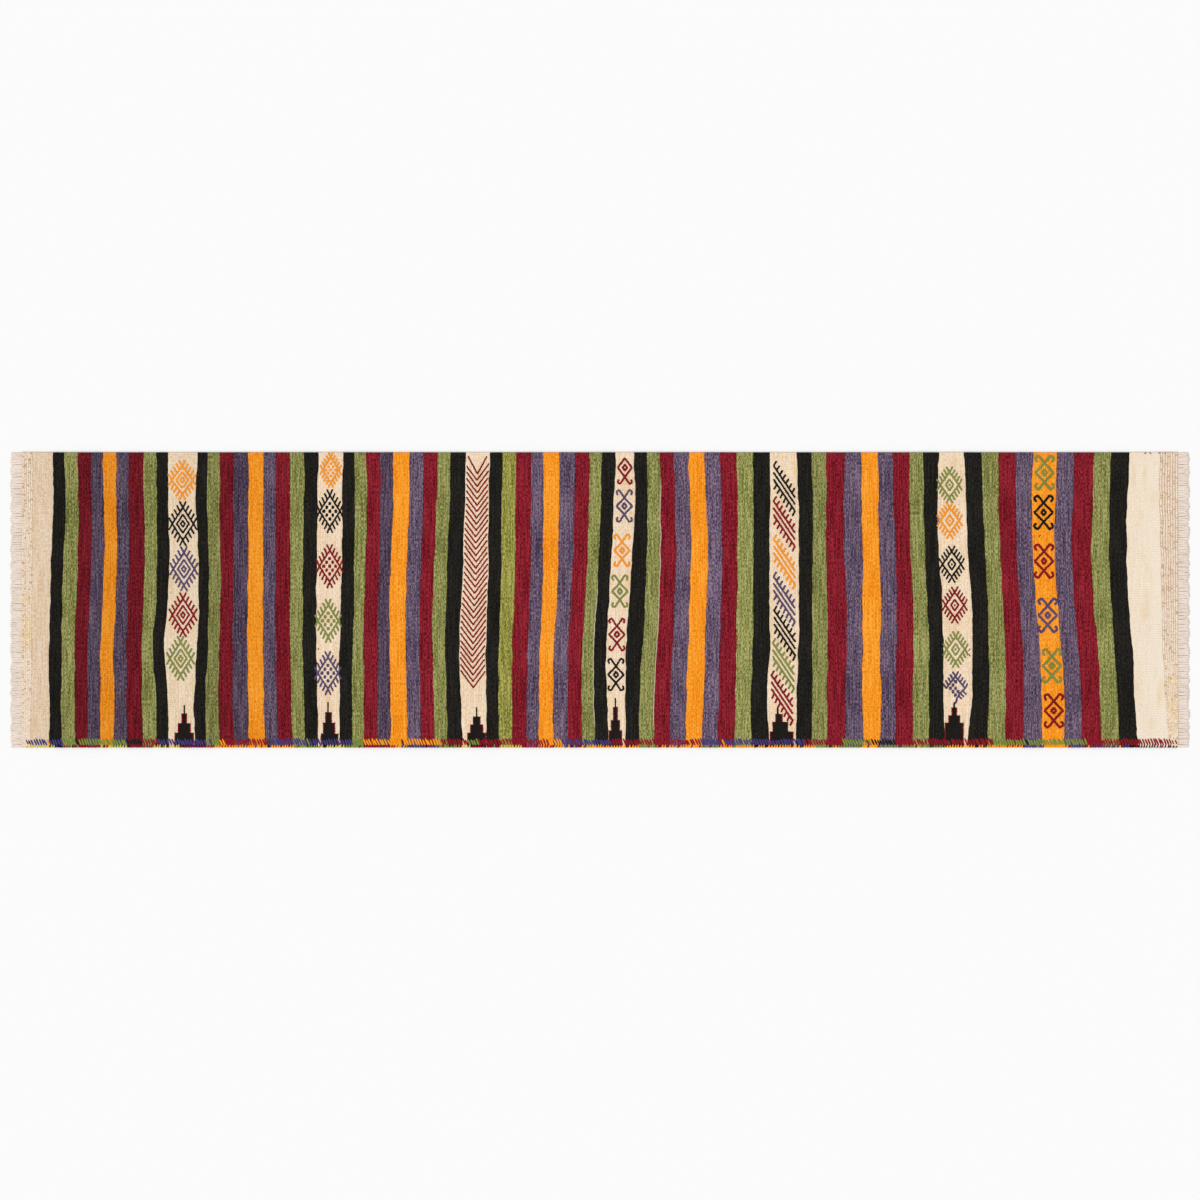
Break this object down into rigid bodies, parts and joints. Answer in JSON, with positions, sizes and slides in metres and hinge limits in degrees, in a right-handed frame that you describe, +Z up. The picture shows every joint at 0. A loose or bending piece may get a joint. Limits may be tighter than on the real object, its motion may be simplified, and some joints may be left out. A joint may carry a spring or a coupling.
{
  "type": "flat-woven wool runner rug",
  "caption": "Long flat-woven wool runner in dyed cross stripes and cream motif bands, with braided ends, fringes and one overcast edge; folds in quarters.",
  "frame": {"origin": "on the floor under the middle of the runner's box", "axes": "+X along the warps, towards the end with the wide orange stripe; +Y across, away from the overcast edge; +Z up out of the face"},
  "size_m": [3.005, 0.752, 0.003],
  "materials": {
    "black": "flat-woven dyed wool, near black, matt",
    "green": "flat-woven dyed wool, mottled leaf green, matt",
    "red": "flat-woven dyed wool, maroon, matt",
    "purple": "flat-woven dyed wool, heathered purple grey, matt",
    "orange": "flat-woven dyed wool, warm orange, matt",
    "cream": "flat-woven undyed wool, cream, matt",
    "warp": "undyed warp yarn, twisted",
    "fringe": "undyed warp ends in small bunches",
    "braid": "undyed yarn, twined and braided",
    "binding": "overcast stitches in changing dyed wool yarns",
    "motif_black": "brocaded wool yarn, near black",
    "motif_green": "brocaded wool yarn, green",
    "motif_red": "brocaded wool yarn, dark red",
    "motif_purple": "brocaded wool yarn, purple",
    "motif_orange": "brocaded wool yarn, orange"
  },
  "bodies": {
    "quarter_1": {"fringe_left": "fringe", "braid_left": "braid", "cream_end_left": "cream", "black_weft_first": "black", "green_weft_first": "green", "red_weft_pair_1": "red", "purple_weft_pair_1": "purple", "orange_weft_1": "orange", "red_weft_pair_2": "red", "purple_weft_pair_2": "purple", "orange_weft_2": "orange", "green_weft_pair_1": "green", "black_weft_pair_1": "black", "motif_band_1": "cream", "green_weft_fold_left": "green", "warp_core_1": "warp", "edge_binding_1": "binding"},
    "quarter_2": {"red_weft_pair_3": "red", "purple_weft_pair_3": "purple", "orange_weft_3": "orange", "red_weft_pair_4": "red", "purple_weft_pair_4": "purple", "orange_weft_4": "orange", "green_weft_pair_2": "green", "black_weft_pair_2": "black", "motif_band_2": "cream", "green_weft_pair_3": "green", "black_weft_pair_3": "black", "motif_band_3": "cream", "green_weft_fold_centre": "green", "warp_core_2": "warp", "edge_binding_2": "binding"},
    "quarter_3": {"red_weft_pair_5": "red", "purple_weft_pair_5": "purple", "orange_weft_5": "orange", "red_weft_pair_6": "red", "purple_weft_pair_6": "purple", "orange_weft_6": "orange", "green_weft_pair_4": "green", "black_weft_pair_4": "black", "motif_band_4": "cream", "green_weft_pair_5": "green", "black_weft_pair_5": "black", "motif_band_5": "cream", "warp_core_3": "warp", "edge_binding_3": "binding"},
    "quarter_4": {"red_weft_pair_7": "red", "purple_weft_pair_7": "purple", "orange_weft_7": "orange", "green_weft_pair_6": "green", "black_weft_pair_6": "black", "motif_band_6": "cream", "red_weft_fold_right": "red", "green_weft_last": "green", "black_weft_last": "black", "cream_end_right": "cream", "braid_right": "braid", "fringe_right": "fringe", "warp_core_4": "warp", "edge_binding_4": "binding"}
  },
  "joints": [
    {"name": "fold_left", "type": "hinge", "parent": "quarter_2", "child": "quarter_1", "pos_m": [-0.769, 0, 0.006], "axis": [0, 1, 0], "range_deg": [0, 180]},
    {"name": "fold_centre", "type": "hinge", "parent": "quarter_2", "child": "quarter_3", "pos_m": [-0.019, 0, 0.0135], "axis": [0, -1, 0], "range_deg": [0, 180]},
    {"name": "fold_right", "type": "hinge", "parent": "quarter_3", "child": "quarter_4", "pos_m": [0.769, 0, 0.006], "axis": [0, -1, 0], "range_deg": [0, 180]}
  ]
}
